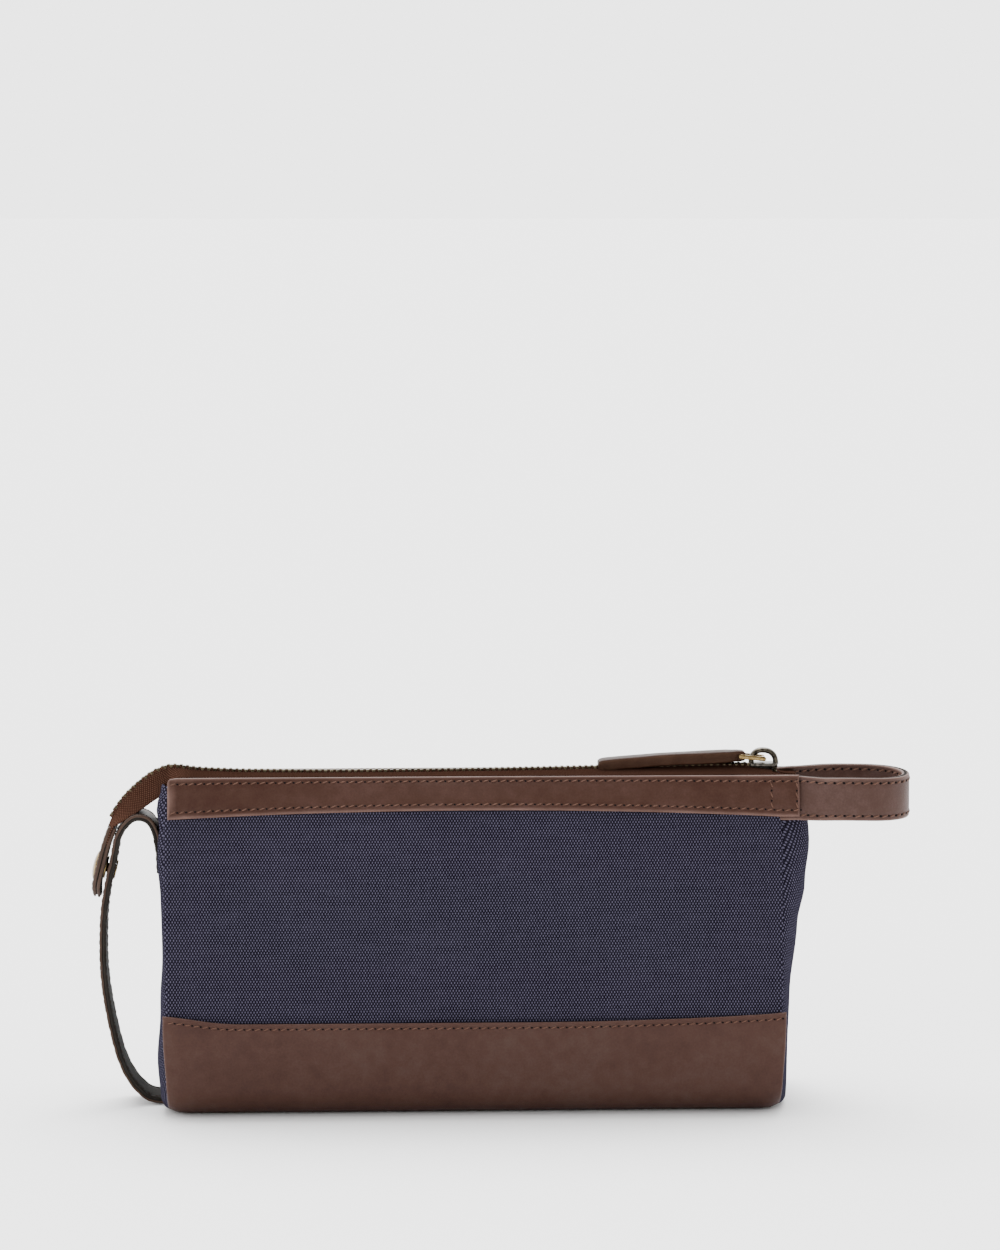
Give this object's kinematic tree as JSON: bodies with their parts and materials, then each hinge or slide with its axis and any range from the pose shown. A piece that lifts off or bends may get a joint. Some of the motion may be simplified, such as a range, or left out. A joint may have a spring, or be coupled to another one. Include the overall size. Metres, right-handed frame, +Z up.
{
  "type": "shaving kit bag",
  "caption": "Canvas and leather shaving kit bag with a zipped mouth, a snapped zip tail, a side strap and an end carry loop.",
  "frame": {"origin": "centre of the base cover's flat underside", "axes": "+X along the mouth from the zip tail to the carry loop, -Y out of the front, +Z up"},
  "size_m": [0.3487, 0.082, 0.1494],
  "materials": {
    "navy_canvas": "waxed plain-weave canvas",
    "brown_leather": "full-grain leather, stitched edges",
    "dark_leather": "rough flesh side of the leather",
    "lining": "cotton lining",
    "base_board": "fibreboard",
    "zip_tape": "herringbone zip tape",
    "zip_teeth": "antique brass",
    "slider_metal": "dark antique metal",
    "pale_brass": "polished pale brass"
  },
  "bodies": {
    "bag": {"front_panel": "navy_canvas", "rear_panel": "navy_canvas", "left_gusset": "navy_canvas", "right_gusset": "navy_canvas", "base_cover": "brown_leather", "base_board": "base_board", "front_band": "brown_leather", "rear_band": "brown_leather", "front_lining": "lining", "rear_lining": "lining", "left_lining": "lining", "right_lining": "lining", "base_lining": "lining", "loop_anchors": "brown_leather", "zip_end_tapes": "zip_tape", "top_stops": "zip_teeth", "side_strap": "brown_leather", "side_strap_lining": "dark_leather", "snap_stud": "pale_brass", "snap_eyelet": "pale_brass"},
    "front_lip": {"front_zip_tape": "zip_tape", "front_zip_teeth": "zip_teeth"},
    "rear_lip": {"rear_zip_tape": "zip_tape", "rear_zip_teeth": "zip_teeth"},
    "slider": {"slider_body": "slider_metal", "slider_crown": "slider_metal"},
    "link": {"pull_link": "pale_brass"},
    "pull": {"leather_pull": "brown_leather", "pull_rivet": "pale_brass"},
    "zip_tail": {"tail_front_tape": "zip_tape", "tail_rear_tape": "zip_tape", "tail_teeth": "zip_teeth", "bottom_stop": "zip_teeth"},
    "snap_tab": {"tab_outer": "brown_leather", "tab_inner": "brown_leather", "snap_cap": "pale_brass", "snap_socket": "pale_brass"},
    "carry_loop": {"loop_outer": "brown_leather", "loop_lining": "dark_leather"}
  },
  "joints": [
    {"name": "zip_slide", "type": "slide", "parent": "bag", "child": "slider", "axis": [-1, 0, 0], "range_m": [0, 0.24]},
    {"name": "front_lip_fold", "type": "hinge", "parent": "bag", "child": "front_lip", "pos_m": [0, -0.0128, 0.1406], "axis": [1, 0, 0], "range_deg": [0, 75], "deforming": ["front_zip_tape", "front_zip_teeth"]},
    {"name": "rear_lip_fold", "type": "hinge", "parent": "bag", "child": "rear_lip", "pos_m": [0, 0.0128, 0.1406], "axis": [-1, 0, 0], "range_deg": [0, 75], "deforming": ["rear_zip_tape", "rear_zip_teeth"]},
    {"name": "link_swing", "type": "hinge", "parent": "slider", "child": "link", "pos_m": [0.124, 0, 0.1454], "axis": [0, 1, 0], "range_deg": [0, 100]},
    {"name": "pull_swing", "type": "hinge", "parent": "link", "child": "pull", "pos_m": [0.1143, 0, 0.1464], "axis": [0, 1, 0], "range_deg": [0, 70]},
    {"name": "tail_lift", "type": "hinge", "parent": "bag", "child": "zip_tail", "pos_m": [-0.1305, 0, 0.139], "axis": [0, 1, 0], "range_deg": [0, 22]},
    {"name": "tab_flip", "type": "hinge", "parent": "zip_tail", "child": "snap_tab", "pos_m": [-0.1536, 0, 0.1198], "axis": [0, 1, 0], "range_deg": [0, 100]},
    {"name": "loop_flex", "type": "hinge", "parent": "bag", "child": "carry_loop", "pos_m": [0.1382, 0, 0.1301], "axis": [0, 1, 0], "range_deg": [-15, 15], "stiffness_Nm_per_rad": 0.15}
  ],
  "couplings": [
    {"joint": "front_lip_fold", "follows": "zip_slide", "rad_per_m": 5.45},
    {"joint": "rear_lip_fold", "follows": "zip_slide", "rad_per_m": 5.45},
    {"joint": "tail_lift", "follows": "tab_flip", "ratio": 0.2}
  ]
}
